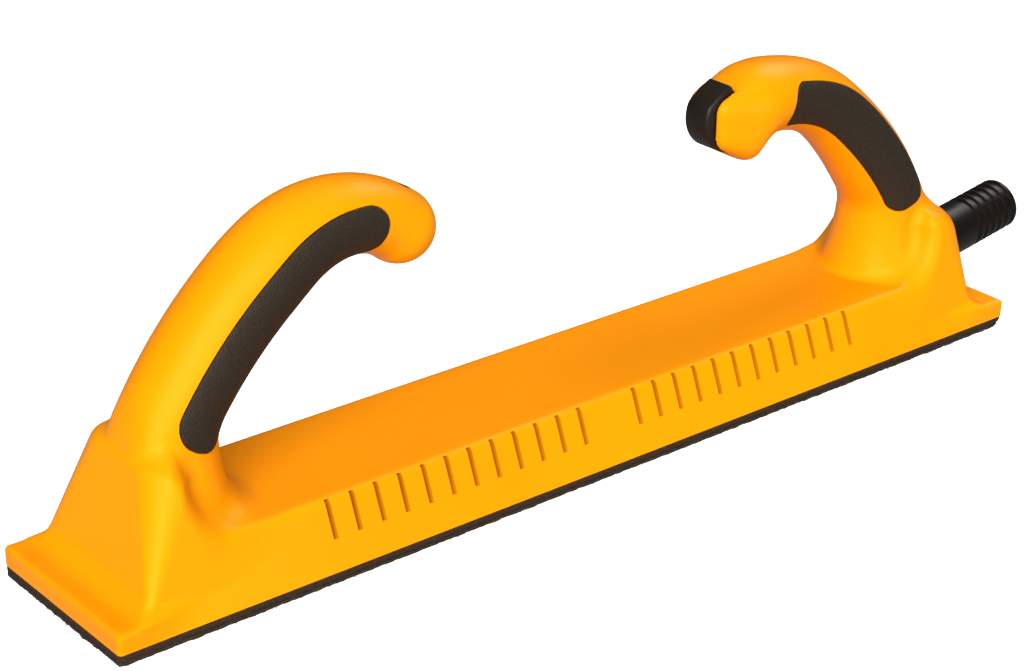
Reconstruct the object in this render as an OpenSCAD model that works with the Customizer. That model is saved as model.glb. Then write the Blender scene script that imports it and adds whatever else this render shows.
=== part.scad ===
// Dust-extraction hand sanding block, 70 x 400 format, millimetres.
// Origin: centre of the sanding face. +X runs to the hose end, +Z up.

/* [Sole] */
// Length of the sanding face
sole_length = 400; // [360:5:460]
// Width of the sanding face
sole_width = 70; // [66:1:84]
// Corner radius of the sole
sole_corner = 2; // [1:0.5:5]
// Thickness of the hook-and-loop face
hook_thickness = 1.2; // [0.8:0.1:2]
// Thickness of the foam layer
foam_thickness = 2.8; // [2:0.1:6]
// Diameter of a dust hole
dust_hole = 5.5; // [4:0.5:6]
// Dust holes in each outer row, the middle row has one fewer
outer_row_holes = 17; // [11:2:19]
// Thickness of the base plate
plate_thickness = 3; // [2.5:0.5:4]
// Thickness of the gasket on the base plate
gasket_thickness = 1; // [0.5:0.1:1.5]

/* [Housing] */
// Height of the flange at both ends
flange_height = 6.85; // [6:0.05:8]
// Height of the body above the sole
body_height = 21.9; // [20:0.1:26]
// Width of the body's top face
body_top_width = 51.8; // [48:0.2:58]
// Height of the pedestals above the sole
pedestal_height = 47.5; // [45:0.5:50]
// Sideways thickness of the side walls
side_wall = 3.8; // [3:0.1:4.2]
// Thickness of the top and end walls
top_wall = 3; // [2.5:0.1:4]
// Finger grooves in each group
groove_count = 12; // [6:1:12]
// Distance between finger grooves
groove_pitch = 9.55; // [7:0.05:11]
// Distance from the middle to the first groove
groove_first = 12.5; // [10:0.5:20]
// Width of a groove
groove_width = 1.2; // [0.8:0.1:2]
// Depth of a groove
groove_depth = 1.1; // [0.6:0.1:1.6]
// Height of the groove's lower end above the sole
groove_bottom = 9.6; // [8:0.1:14]

/* [Handles] */
// Tube radius of the front handle
front_tube = 15; // [14:0.1:15.4]
// Tube radius of the rear handle
rear_tube = 14.4; // [14:0.1:15]
// Radius of the ball on the front handle's tip
front_tip = 12.2; // [10:0.1:13]
// Radius of the air channel in the handles
channel = 5; // [4:0.1:5.4]
// Thickness of a grip insert
grip_thickness = 2.2; // [1.6:0.1:2.4]
// Half width of a grip insert
grip_half = 8.3; // [6:0.1:9]
// Clearance around a grip insert
grip_gap = 0.15; // [0.1:0.05:0.3]

/* [Hose port] */
// Outside diameter of the hose spigot
spigot_diameter = 19.6; // [18:0.1:20]
// Bore of the hose spigot
spigot_bore = 14; // [10:0.5:15]
// Length of the spigot outside the housing
spigot_length = 49.5; // [44:0.5:60]
// Upward lean of the spigot
port_tilt = 9; // [6:0.5:10]
// Height of the port axis above the sole at the end face
port_height = 20.6; // [20:0.1:22]
// Ribs on the spigot
rib_count = 6; // [4:1:7]
// Distance between ribs
rib_pitch = 3.9; // [3:0.1:4]
// Radial running clearance of the spigot
port_fit = 0.05; // [0.03:0.01:0.08]

/* [Regulator] */
// Diameter of the regulator drum
drum_diameter = 26.4; // [24:0.2:26.4]
// Width of the regulator drum
drum_width = 11.6; // [11:0.1:14]
// Diameter of the drum's pivot pin
pin_diameter = 4; // [3:0.1:5]
// Radial running clearance on the pin
pin_fit = 0.05; // [0.03:0.01:0.08]

/* [Hidden] */

$fn = 64;
eps = 0.05;
yellow = [1.0, 0.68, 0.02];
black = [0.13, 0.11, 0.09];
grey = [0.35, 0.34, 0.32];
steel = [0.72, 0.72, 0.74];
brass = [0.78, 0.62, 0.30];

half_l = sole_length / 2;
half_w = sole_width / 2;
base_z = hook_thickness + foam_thickness;
slope = (half_w - body_top_width / 2) / body_height;

// side wall position at a height above the sole
function side_y(h) = half_w - slope * h;

// pedestals: end faces at the foot, the shoulder and the top, then the ramp and the root
body_join = half_l - 90;
rear_face = [half_l - 10, half_l - 14, half_l - 19];
front_face = [half_l - 9.5, half_l - 20.5, half_l - 22.5];
shoulder_drop = 5.5;
// their sides stand steeper than the body's and run out into it
flank_half = half_w - 1.75;
flank_slope = slope - 0.22;
flank_u = [half_l - 62, half_l - 32];
flank_in = 11;
ramp_u = half_l - 55.5;
ramp_r = 17;
root_u = half_l - 66;
root_l = 24;
root_w = 22;
root_run = 28;
root_rise = 15;
root_sink = 4;
root_fillet = 27;
flange_l = 16;
flange_fade = 52;
chamber_end = half_l - 13.6;
throat_u = half_l - 36.7;
seat_low = pedestal_height - 11.5;

// base plate and its fixings
rim = 4;
plate_half_l = half_l - rim - 0.2;
plate_half_w = half_w - rim - 0.2;
ledge = plate_thickness + gasket_thickness;
gasket_width = 1.6;
hole_margin = 14;
hole_pitch = (sole_length - 2 * hole_margin) / (outer_row_holes - 1);
row_y = half_w / 2;
base_screw_y = half_w - 10.2;
base_screw_x = [-(half_l - 30), -(half_l - 30) / 2, 0, (half_l - 30) / 2, half_l - 30];
base_screw_r = 1.75;
base_head_r = 3.4;
base_head_h = 1.65;
boss_r = 4;

// handle paths: seam point, lean, lower arc, upper arc (inset from the end)
front_path = [half_l - 36, 44, 27.8, 150, 27.2, 39.3, 60];
rear_path = [half_l - 33.6, 44, 26.6, 151.6, 22.2, 54.4, 41.2];

function seam(p) = [p[0], p[1]];
function lean(p) = p[2];
function lower_r(p) = p[3];
function upper_r(p) = p[5];
function turn(p) = p[2] + p[4];
function last(p) = p[2] + p[4] + p[6];
function ray(a) = [cos(a), sin(a)];
function lower_c(p) = seam(p) - lower_r(p) * ray(lean(p));
function upper_c(p) = lower_c(p) + (lower_r(p) - upper_r(p)) * ray(turn(p));
function path_end(p) = upper_c(p) + upper_r(p) * ray(last(p));
function joint_at(p) = lower_c(p) + lower_r(p) * ray(turn(p));

front_end = path_end(front_path);
rear_end = path_end(rear_path);
// the front handle narrows to its ball tip
cone_l = 10.5;
tip = front_end + (cone_l - 1) * ray(last(front_path) + 90);
// the plug closes the channel just before the ball
plug_at = front_end + 3.9 * ray(last(front_path) + 90);
plug_lean = 31;
plug_r = 3.7;
plug_top = 12.2;
// slim band that welds two swept lengths into one
band = 0.04;
band_l = 0.8;

// handle fixing
seat_plate = 6;
socket_gap = 0.15;
screw_y = 9;
handle_screw_r = 1.75;
insert_r = 2.6;
insert_l = 9;
collar_r = channel + 1;
collar_l = 3;
seal_in = 11.6;
seal_out = 12.5;
seal_h = 0.8;

// regulator position, measured from the end of the rear handle's path
drum = [rear_end[0] - 19.9, rear_end[1] - 2.2];
drum_r = drum_diameter / 2;
drum_gap = 0.45;
bulb = [rear_end[0] - 9, rear_end[1] - 5.4];
bulb_r = 16.6;
cheek = [drum[0] + 2.5, drum[1] - 0.6];
cheek_r = 11.8;
cheek_half = 12.4;
visor = drum[0] + 0.4;
visor_z = drum[1] + 9;
washer_t = 0.45;
pin_r = pin_diameter / 2;
pin_hold = 2.2;
pin_half = drum_width / 2 + washer_t + pin_hold;
hub_r = pin_r + 3.5;
thumb_flat = 124;
flat_depth = 1.2;
passage = [98, 14];

// hose port
port = [half_l - 13, port_height];
spigot_r = spigot_diameter / 2;
journal_r = spigot_r + 0.4;
bush_r = journal_r + 2.6;
bush_in = 20;
bush_out = 3;
boss_in = 18;
boss_wall = 2.2;
shoulder_gap = 0.3;
shoulder_l = 2.4;
rib_free = 1.2;
rib_depth = 0.8;
groove_at = -8;
seal_wall = 1.2;
ring_h = 1.8;
clip_t = 1.2;
clip_gap = 0.4;
clip_land = 1.4;
clip_depth = 1;
clip_rim = 1.4;
clip_mouth = 5;

module along_y(h) {
  rotate([90, 0, 0])
    linear_extrude(height = h, center = true)
      children();
}

module along_x(l) {
  rotate([90, 0, 90])
    linear_extrude(height = l, center = true)
      children();
}

module raised() {
  translate([0, 0, base_z])
    children();
}

module round_plate(l, w, h, r) {
  translate([-l / 2 + r, -w / 2, 0])
    cube([l - 2 * r, w, h]);
  translate([-l / 2, -w / 2 + r, 0])
    cube([l, w - 2 * r, h]);
  for (x = [-1, 1], y = [-1, 1])
    translate([x * (l / 2 - r), y * (w / 2 - r), 0])
      cylinder(r = r, h = h);
}

module dust_holes(h) {
  for (i = [0 : outer_row_holes - 1], y = [-1, 1])
    translate([-half_l + hole_margin + i * hole_pitch, y * row_y, -1])
      cylinder(d = dust_hole, h = h + 2);
  for (i = [0 : outer_row_holes - 2])
    translate([-half_l + hole_margin + (i + 0.5) * hole_pitch, 0, -1])
      cylinder(d = dust_hole, h = h + 2);
}

module base_screw_places() {
  for (x = base_screw_x, y = [-1, 1])
    translate([x, y * base_screw_y, 0])
      children();
}

// frame on the seam of a handle, local z along the handle
module on_seam(p) {
  translate([p[0], 0, p[1]])
    rotate([0, -lean(p), 0])
      children();
}

module handle_screw_places() {
  for (y = [-1, 1])
    translate([0, y * screw_y, 0])
      children();
}

// sweep a section along an arc in the XZ plane
module arc_sweep(c, r, start, sweep) {
  translate([c[0], 0, c[1]])
    rotate([90, -start, 0])
      rotate_extrude(angle = sweep)
        translate([r, 0])
          children();
}

// frames on the joint of the two arcs and on the end of the path
module on_joint(p) {
  translate([joint_at(p)[0], 0, joint_at(p)[1]])
    rotate([0, -turn(p), 0])
      children();
}

module on_end(p) {
  translate([path_end(p)[0], 0, path_end(p)[1]])
    rotate([0, -last(p), 0])
      children();
}

module tube_sweep(p, r) {
  arc_sweep(lower_c(p), lower_r(p), lean(p), p[4])
    circle(r = r);
  arc_sweep(upper_c(p), upper_r(p), turn(p), p[6])
    circle(r = r);
  on_joint(p)
    cylinder(r = r + band, h = band_l, center = true);
}

module channel_sweep(p) {
  on_seam(p)
    translate([0, 0, -collar_l - 1])
      cylinder(r = channel + band, h = collar_l + 1.4);
  tube_sweep(p, channel);
}

// section of a grip on the near side (+1) or the far side (-1)
module grip_section(r, side, gap, proud, deeper) {
  intersection() {
    difference() {
      circle(r = r + proud);
      circle(r = r - grip_thickness - deeper);
    }
    translate([-grip_half - gap, side > 0 ? 0 : -2 * r])
      square([2 * (grip_half + gap), 2 * r]);
  }
}

module grip(p, r, side, from, to, gap, proud) {
  da = gap / lower_r(p) * 57.3;
  db = gap / upper_r(p) * 57.3;
  arc_sweep(lower_c(p), lower_r(p), lean(p) + from - da, p[4] - from + da)
    grip_section(r, side, gap, proud, 0);
  arc_sweep(upper_c(p), upper_r(p), turn(p), to + db)
    grip_section(r, side, gap, proud, 0);
  on_joint(p)
    linear_extrude(height = band_l + 2 * gap, center = true)
      grip_section(r, -side, gap + band, proud + band, band);
}

front_from = 2.8;
front_to = 52;
rear_from = 1.8;
rear_to = 37;

// outer side view of the housing on the positive end
module pedestal_side(e) {
  difference() {
    polygon([
      [body_join, 0], [e[0], 0], [e[0], flange_height],
      [e[1], pedestal_height - shoulder_drop], [e[2], pedestal_height],
      [ramp_u + ramp_r, pedestal_height], [ramp_u + ramp_r, body_height + ramp_r],
      [ramp_u, body_height + ramp_r], [ramp_u, body_height],
      [body_join, body_height]
    ]);
    translate([ramp_u, body_height + ramp_r])
      circle(r = ramp_r);
  }
}

module draft(h, inset) {
  polygon([
    [-side_y(0) + inset, 0], [side_y(0) - inset, 0],
    [side_y(h) - inset, h], [-side_y(h) + inset, h]
  ]);
}

module pedestal_flanks(e) {
  reach = 60;
  top_half = flank_half - flank_slope * reach;
  intersection() {
    along_y(sole_width + 2)
      pedestal_side(e);
    along_x(sole_length + 20)
      polygon([[-flank_half, 0], [flank_half, 0], [top_half, reach], [-top_half, reach]]);
    linear_extrude(height = reach)
      polygon([
        [flank_u[0], flank_in - half_w], [flank_u[1], -half_w], [half_l, -half_w],
        [half_l, half_w], [flank_u[1], half_w], [flank_u[0], half_w - flank_in]
      ]);
  }
}

// root of a handle on its pedestal, with a hollow fillet to the body's top
module handle_root(p, r, foot, top) {
  intersection() {
    union() {
      on_seam(p)
        translate([0, 0, -root_l])
          cylinder(r = r, h = root_l);
      difference() {
        translate([root_u, -root_w / 2, body_height - root_sink])
          cube([root_run, root_w, root_sink + root_rise]);
        translate([root_u, 0, body_height + root_fillet])
          rotate([90, 0, 0])
            cylinder(r = root_fillet, h = 2 * root_w, center = true);
      }
    }
    along_y(2 * half_w)
      polygon([
        [body_join, 2], [foot, 2], [foot, flange_height],
        [top, pedestal_height], [top, 2 * pedestal_height], [body_join, 2 * pedestal_height]
      ]);
  }
}

// flange on the positive end, its sides run out into the drafted walls
module end_flange() {
  linear_extrude(height = flange_height)
    polygon([
      [half_l - flange_fade, -side_y(flange_height)], [half_l - flange_l, -half_w],
      [half_l, -half_w], [half_l, half_w],
      [half_l - flange_l, half_w], [half_l - flange_fade, side_y(flange_height)]
    ]);
}

module housing_outside() {
  intersection() {
    union() {
      intersection() {
        union() {
          along_y(sole_width + 2)
            translate([-body_join - 10, 0])
              square([2 * body_join + 20, body_height]);
          along_y(sole_width + 2)
            pedestal_side(rear_face);
          mirror([1, 0, 0])
            along_y(sole_width + 2)
              pedestal_side(front_face);
        }
        along_x(sole_length + 20)
          draft(60, 0);
      }
      pedestal_flanks(rear_face);
      mirror([1, 0, 0])
        pedestal_flanks(front_face);
      end_flange();
      mirror([1, 0, 0])
        end_flange();
      handle_root(rear_path, rear_tube, rear_face[0], rear_face[1]);
      mirror([1, 0, 0])
        handle_root(front_path, front_tube, front_face[0], front_face[2]);
    }
    round_plate(sole_length, sole_width, 90, sole_corner);
  }
}

// inner side view of the chamber in a pedestal, under the handle's seat
module chamber_side(foot, top) {
  polygon([
    [body_join, ledge - eps], [foot, ledge - eps],
    [foot, flange_height], [top, seat_low],
    [top - 2, seat_low + 5.5], [throat_u, seat_low], [throat_u, seat_low - 4],
    [throat_u - 4.6, body_height + 2.9], [ramp_u + 7.5, body_height - 1.6],
    [ramp_u, body_height - top_wall],
    [body_join, body_height - top_wall]
  ]);
}

module handle_seat(p, r) {
  on_seam(p)
    translate([0, 0, -seat_plate])
      cylinder(r = r, h = seat_plate);
}

module handle_seat_cuts(p, r) {
  on_seam(p) {
    // the handle stands in this socket
    cylinder(r = r + socket_gap, h = 30);
    translate([0, 0, -seat_plate - 1])
      cylinder(r = collar_r + 0.05, h = seat_plate + 2);
    handle_screw_places()
      translate([0, 0, -seat_plate - 12])
        cylinder(r = handle_screw_r + 0.3, h = seat_plate + 14);
    handle_screw_places()
      translate([0, 0, -seat_plate - 12])
        cylinder(r = 3.8, h = 12);
    translate([0, 0, -seal_h])
      difference() {
        cylinder(r = seal_out, h = seal_h + 1);
        translate([0, 0, -1])
          cylinder(r = seal_in, h = seal_h + 3);
      }
  }
}

module on_port() {
  translate([port[0], 0, port[1]])
    rotate([0, 90 - port_tilt, 0])
      children();
}

module chamber() {
  intersection() {
    union() {
      along_y(sole_width)
        translate([-body_join - 10, ledge - eps])
          square([2 * body_join + 20, body_height - top_wall - ledge + eps]);
      along_y(sole_width)
        chamber_side(chamber_end, rear_face[1] - 4.4);
      mirror([1, 0, 0])
        along_y(sole_width)
          chamber_side(chamber_end, front_face[1] - 3.1);
    }
    along_x(sole_length)
      draft(60, side_wall);
  }
}

module grooves() {
  a = atan(slope);
  run = (body_height + 4 - groove_bottom) / cos(a);
  for (i = [0 : groove_count - 1], x = [-1, 1], y = [-1, 1])
    if (groove_first + i * groove_pitch < half_l - 70)
      translate([x * (groove_first + i * groove_pitch), 0, 0])
        scale_side(y)
          translate([0, side_y(groove_bottom), groove_bottom])
            rotate([a, 0, 0])
              translate([-groove_width / 2, -groove_depth, 0])
                cube([groove_width, groove_depth + 4, run]);
}

module scale_side(y) {
  if (y > 0)
    children();
  else
    mirror([0, 1, 0])
      children();
}

module housing() {
  color(yellow)
    raised()
      difference() {
        union() {
          difference() {
            housing_outside();
            chamber();
          }
          intersection() {
            housing_outside();
            union() {
              base_screw_places()
                translate([0, 0, plate_thickness])
                  cylinder(r = boss_r, h = body_height - plate_thickness - 1);
              intersection() {
                on_port()
                  translate([0, 0, -boss_in])
                    cylinder(r = bush_r + boss_wall, h = boss_in + 20);
                translate([half_l - 60, -half_w, ledge])
                  cube([60, sole_width, 60]);
              }
              handle_seat(rear_path, rear_tube);
              mirror([1, 0, 0])
                handle_seat(front_path, front_tube);
            }
          }
        }
        translate([0, 0, -1])
          round_plate(2 * (half_l - rim), 2 * (half_w - rim), ledge + 1, 1.5);
        base_screw_places()
          translate([0, 0, plate_thickness - 1])
            cylinder(r = base_screw_r, h = 12.2);
        on_port()
          translate([0, 0, -boss_in - 12])
            cylinder(r = bush_r, h = boss_in + 40);
        handle_seat_cuts(rear_path, rear_tube);
        mirror([1, 0, 0])
          handle_seat_cuts(front_path, front_tube);
        grooves();
      }
}

module handle_foot_cuts(p) {
  on_seam(p)
    handle_screw_places()
      translate([0, 0, -1])
        cylinder(r = insert_r, h = insert_l + 1);
}

module handle_collar(p) {
  on_seam(p)
    translate([0, 0, -collar_l])
      cylinder(r = collar_r, h = collar_l + 0.2);
}

module plug_axis() {
  translate([plug_at[0], 0, plug_at[1]])
    rotate([0, -plug_lean, 0])
      children();
}

module front_handle_half() {
  p = front_path;
  difference() {
    union() {
      tube_sweep(p, front_tube);
      on_end(p)
        translate([0, 0, -0.5])
          cylinder(r1 = front_tube + band, r2 = front_tip, h = cone_l + 0.5);
      translate([tip[0], 0, tip[1]])
        sphere(r = front_tip);
      handle_collar(p);
    }
    channel_sweep(p);
    on_end(p)
      translate([0, 0, -0.5])
        cylinder(r = channel - band, h = cone_l);
    handle_foot_cuts(p);
    grip(p, front_tube, 1, front_from, front_to, grip_gap, 3);
    grip(p, front_tube, -1, front_from, front_to, grip_gap, 3);
    plug_axis()
      cylinder(r = plug_r, h = front_tip + 8);
  }
}

module front_handle() {
  color(yellow)
    raised()
      mirror([1, 0, 0])
        front_handle_half();
}

module rear_handle() {
  p = rear_path;
  color(yellow)
    raised()
      difference() {
        union() {
          tube_sweep(p, rear_tube);
          translate([bulb[0], 0, rear_end[1]])
            rotate([0, 90, 0])
              cylinder(r = rear_tube + band, h = rear_end[0] - bulb[0] + 0.5);
          translate([bulb[0], 0, bulb[1]])
            sphere(r = bulb_r);
          intersection() {
            translate([cheek[0], 0, cheek[1]])
              rotate([90, 0, 0])
                cylinder(r = cheek_r, h = 2 * cheek_half, center = true);
            translate([cheek[0] + 4, 0, cheek[1]])
              sphere(r = 17.2);
          }
          // the visor over the drum
          intersection() {
            translate([bulb[0] + 1, 0, rear_end[1]])
              rotate([0, -90, 0])
                cylinder(r1 = rear_tube - 0.1, r2 = rear_tube - 3, h = bulb[0] + 1 - visor);
            translate([visor, -20, visor_z])
              cube([40, 40, 40]);
          }
          handle_collar(p);
        }
        channel_sweep(p);
        translate([drum[0], 0, rear_end[1]])
          rotate([0, 90, 0])
            cylinder(r = channel - band, h = rear_end[0] - drum[0] + 0.5);
        // drum chamber between the cheeks
        translate([drum[0], 0, drum[1]])
          rotate([90, 0, 0])
            intersection() {
              cylinder(r = drum_r + drum_gap, h = drum_width + 0.1 + 2 * washer_t, center = true);
              union() {
                translate([-60, -30, -20])
                  cube([60 + visor - drum[0], 60, 40]);
                translate([-60, -30, -20])
                  cube([120, 30 + visor_z - drum[1], 40]);
              }
            }
        // mouth in front of the drum
        translate([drum[0] - 30, -drum_width / 2 - 0.05 - washer_t, drum[1] - drum_r - drum_gap + 3])
          cube([30, drum_width + 0.1 + 2 * washer_t, 40]);
        translate([drum[0], 0, drum[1]])
          rotate([90, 0, 0])
            cylinder(r = pin_r, h = 2 * pin_half + eps, center = true);
        handle_foot_cuts(p);
        grip(p, rear_tube, 1, rear_from, rear_to, grip_gap, 3);
        grip(p, rear_tube, -1, rear_from, rear_to, grip_gap, 3);
      }
}

module front_grip_near() {
  color(black)
    raised()
      mirror([1, 0, 0])
        grip(front_path, front_tube, 1, front_from, front_to, 0, 0.2);
}

module front_grip_far() {
  color(black)
    raised()
      mirror([1, 0, 0])
        grip(front_path, front_tube, -1, front_from, front_to, 0, 0.2);
}

module rear_grip_near() {
  color(black)
    raised()
      grip(rear_path, rear_tube, 1, rear_from, rear_to, 0, 0.2);
}

module rear_grip_far() {
  color(black)
    raised()
      grip(rear_path, rear_tube, -1, rear_from, rear_to, 0, 0.2);
}

module front_tip_plug() {
  color(black)
    raised()
      mirror([1, 0, 0])
        plug_axis()
          intersection() {
            translate([0, 0, channel + 0.5])
              cylinder(r = plug_r, h = front_tip);
            rotate([0, 90, 0])
              cylinder(r = plug_top, h = 4 * plug_r, center = true);
          }
}

module base_plate() {
  color(grey)
    raised()
      difference() {
        round_plate(2 * plate_half_l, 2 * plate_half_w, plate_thickness, 1.5);
        dust_holes(plate_thickness);
        base_screw_places() {
          cylinder(r1 = base_head_r, r2 = base_screw_r, h = base_head_h);
          translate([0, 0, -1])
            cylinder(r = base_screw_r, h = plate_thickness + 2);
        }
      }
}

module base_gasket() {
  color(black)
    raised()
      translate([0, 0, plate_thickness])
        difference() {
          round_plate(2 * plate_half_l, 2 * plate_half_w, gasket_thickness, 1.5);
          translate([-plate_half_l + gasket_width, -plate_half_w + gasket_width, -1])
            cube([2 * (plate_half_l - gasket_width), 2 * (plate_half_w - gasket_width), gasket_thickness + 2]);
        }
}

module foam_pad() {
  color(grey)
    translate([0, 0, hook_thickness])
      difference() {
        round_plate(sole_length, sole_width, foam_thickness, sole_corner);
        dust_holes(foam_thickness);
      }
}

module hook_face() {
  color(black)
    difference() {
      round_plate(sole_length, sole_width, hook_thickness, sole_corner);
      dust_holes(hook_thickness);
    }
}

module base_screws() {
  color(steel)
    raised()
      base_screw_places() {
        cylinder(r1 = base_head_r, r2 = base_screw_r, h = base_head_h);
        cylinder(r = base_screw_r, h = plate_thickness + 10);
      }
}

module handle_screw_set(p) {
  on_seam(p)
    handle_screw_places()
      difference() {
        union() {
          translate([0, 0, -seat_plate])
            cylinder(r = handle_screw_r, h = seat_plate + insert_l - 0.8);
          translate([0, 0, -seat_plate - 2.6])
            cylinder(r = 3.4, h = 2.6);
        }
        translate([0, 0, -seat_plate - 3])
          cylinder(r = 1.5, h = 2);
      }
}

module front_handle_screws() {
  color(steel)
    raised()
      mirror([1, 0, 0])
        handle_screw_set(front_path);
}

module rear_handle_screws() {
  color(steel)
    raised()
      handle_screw_set(rear_path);
}

module handle_insert_set(p) {
  on_seam(p)
    handle_screw_places()
      difference() {
        cylinder(r = insert_r, h = insert_l);
        translate([0, 0, -1])
          cylinder(r = handle_screw_r, h = insert_l + 2);
      }
}

module front_handle_inserts() {
  color(brass)
    raised()
      mirror([1, 0, 0])
        handle_insert_set(front_path);
}

module rear_handle_inserts() {
  color(brass)
    raised()
      handle_insert_set(rear_path);
}

module handle_seal(p) {
  on_seam(p)
    translate([0, 0, -seal_h])
      difference() {
        cylinder(r = seal_out, h = seal_h);
        translate([0, 0, -1])
          cylinder(r = seal_in, h = seal_h + 2);
      }
}

module front_handle_seal() {
  color(black)
    raised()
      mirror([1, 0, 0])
        handle_seal(front_path);
}

module rear_handle_seal() {
  color(black)
    raised()
      handle_seal(rear_path);
}

module port_bush() {
  color(black)
    raised()
      on_port()
        difference() {
          translate([0, 0, -bush_in])
            cylinder(r = bush_r, h = bush_in + bush_out);
          translate([0, 0, -bush_in - 1])
            cylinder(r = journal_r + port_fit, h = bush_in + bush_out + 2);
        }
}

module hose_spigot() {
  tail = bush_in + clip_gap + clip_t + clip_land;
  first_rib = spigot_length - rib_free - rib_pitch * rib_count;
  color(black)
    raised()
      on_port()
        difference() {
          union() {
            translate([0, 0, -tail])
              cylinder(r = journal_r, h = tail + bush_out + 1);
            translate([0, 0, bush_out])
              cylinder(r = spigot_r, h = spigot_length - bush_out);
            // shoulder against the bush
            translate([0, 0, bush_out + shoulder_gap])
              cylinder(r = journal_r + 1, h = shoulder_l);
          }
          translate([0, 0, -tail - 1])
            cylinder(d = spigot_bore, h = tail + spigot_length + 2);
          // channels between the ribs
          for (i = [0 : rib_count - 1])
            translate([0, 0, first_rib + i * rib_pitch])
              ring_cut(spigot_r - rib_depth, rib_pitch / 2);
          translate([0, 0, groove_at])
            ring_cut(journal_r - seal_wall, ring_h);
          translate([0, 0, -bush_in - clip_gap - clip_t])
            ring_cut(journal_r - clip_depth, clip_t);
        }
}

module ring_cut(r, h) {
  difference() {
    cylinder(r = spigot_r + 5, h = h);
    translate([0, 0, -1])
      cylinder(r = r, h = h + 2);
  }
}

module spigot_seal() {
  color(grey)
    raised()
      on_port()
        translate([0, 0, groove_at])
          difference() {
            cylinder(r = journal_r + port_fit * 0.4, h = ring_h);
            translate([0, 0, -1])
              cylinder(r = journal_r - seal_wall, h = ring_h + 2);
          }
}

module spigot_clip() {
  color(steel)
    raised()
      on_port()
        translate([0, 0, -bush_in - clip_gap - clip_t])
          difference() {
            cylinder(r = journal_r + clip_rim, h = clip_t);
            translate([0, 0, -1])
              cylinder(r = journal_r - clip_depth, h = clip_t + 2);
            translate([journal_r - 2 * clip_depth, -clip_mouth / 2, -1])
              cube([journal_r, clip_mouth, clip_t + 2]);
          }
}

module drum_section() {
  difference() {
    circle(r = drum_r);
    // thumb flat toward the front
    rotate(thumb_flat)
      translate([drum_r - flat_depth, -drum_r])
        square([drum_r, 2 * drum_r]);
    // air passage behind the lip
    polygon([
      [0, 0], 3 * drum_r * ray(passage[0]),
      4 * drum_r * ray((passage[0] + passage[1]) / 2), 3 * drum_r * ray(passage[1])
    ]);
  }
  circle(r = hub_r);
}

module regulator_drum() {
  color(black)
    raised()
      translate([drum[0], 0, drum[1]])
        along_y(drum_width)
          difference() {
            drum_section();
            circle(r = pin_r + pin_fit);
          }
}

module regulator_pin() {
  color(steel)
    raised()
      translate([drum[0], 0, drum[1]])
        rotate([90, 0, 0])
          cylinder(r = pin_r, h = 2 * pin_half, center = true);
}

module regulator_washers() {
  color(steel)
    raised()
      translate([drum[0], 0, drum[1]])
        for (y = [-1, 1])
          translate([0, y * (drum_width / 2 + 0.05 + washer_t / 2), 0])
            rotate([90, 0, 0])
              difference() {
                cylinder(r = 5, h = washer_t, center = true);
                cylinder(r = pin_r, h = 3, center = true);
              }
}

housing();
front_handle();
rear_handle();
front_grip_near();
front_grip_far();
rear_grip_near();
rear_grip_far();
front_tip_plug();
base_plate();
base_gasket();
foam_pad();
hook_face();
base_screws();
front_handle_screws();
rear_handle_screws();
front_handle_inserts();
rear_handle_inserts();
front_handle_seal();
rear_handle_seal();
port_bush();
hose_spigot();
spigot_seal();
spigot_clip();
regulator_drum();
regulator_pin();
regulator_washers();
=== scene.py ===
"""Looks of the dust-free sanding block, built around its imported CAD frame."""

import math
from collections import namedtuple

import bmesh
import bpy
import numpy as np
from mathutils import Matrix, Vector


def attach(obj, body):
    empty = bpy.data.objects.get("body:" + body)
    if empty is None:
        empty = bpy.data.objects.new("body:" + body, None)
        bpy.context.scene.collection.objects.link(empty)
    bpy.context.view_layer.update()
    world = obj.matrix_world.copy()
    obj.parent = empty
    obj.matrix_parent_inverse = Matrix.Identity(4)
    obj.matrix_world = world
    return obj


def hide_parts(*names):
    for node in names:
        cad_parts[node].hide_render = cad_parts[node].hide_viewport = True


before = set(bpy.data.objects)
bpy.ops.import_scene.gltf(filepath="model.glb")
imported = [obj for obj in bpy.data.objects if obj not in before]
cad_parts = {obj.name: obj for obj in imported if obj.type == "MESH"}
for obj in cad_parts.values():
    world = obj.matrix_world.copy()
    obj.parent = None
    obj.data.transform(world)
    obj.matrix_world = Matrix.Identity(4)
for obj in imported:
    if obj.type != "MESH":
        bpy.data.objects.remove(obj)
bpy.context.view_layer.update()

# Shapes are worked out in millimetres: u is the distance from the middle toward an end,
# h the height above the yellow body's lower rim, which lies 4 mm above the floor.
MM = 0.001
RIM = 4.0
HALF_LENGTH = 200.0
HALF_WIDTH = 35.0
BODY_TOP = 21.9
FLANGE_TOP = 6.85
# how much the body's sides lean in for each millimetre of height
SLOPE = 0.4177
# all yellow above this height belongs to the handles
SEAM_TOP = 56.5
# the handles' width over their depth
OVAL = 1.06
# the handles flare out below this height
FLARE_TOP = 50.0


def ease(x, low, high):
    """Goes smoothly from 0 at low to 1 at high."""
    t = np.clip((x - low) / (high - low), 0.0, 1.0)
    return t * t * (3.0 - 2.0 * t)


def round_max(a, b, radius):
    """Keeps what is inside both fields, with the edge between them rounded."""
    corner = np.hypot(np.maximum(a + radius, 0.0), np.maximum(b + radius, 0.0))
    return np.minimum(np.maximum(a, b), -radius) + corner


def round_min(a, b, radius):
    """Joins two fields, with a fillet in the corner between them."""
    return -round_max(-a, -b, radius)


# a pedestal's end wall starts at foot and leans by rake, below a rounded shoulder
Stand = namedtuple("Stand", "foot rake shoulder top")
# fillets round a handle's foot, down to nothing at rim; the tube keeps back from the end wall
Root = namedtuple("Root", "fillet flank rim back")


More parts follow.
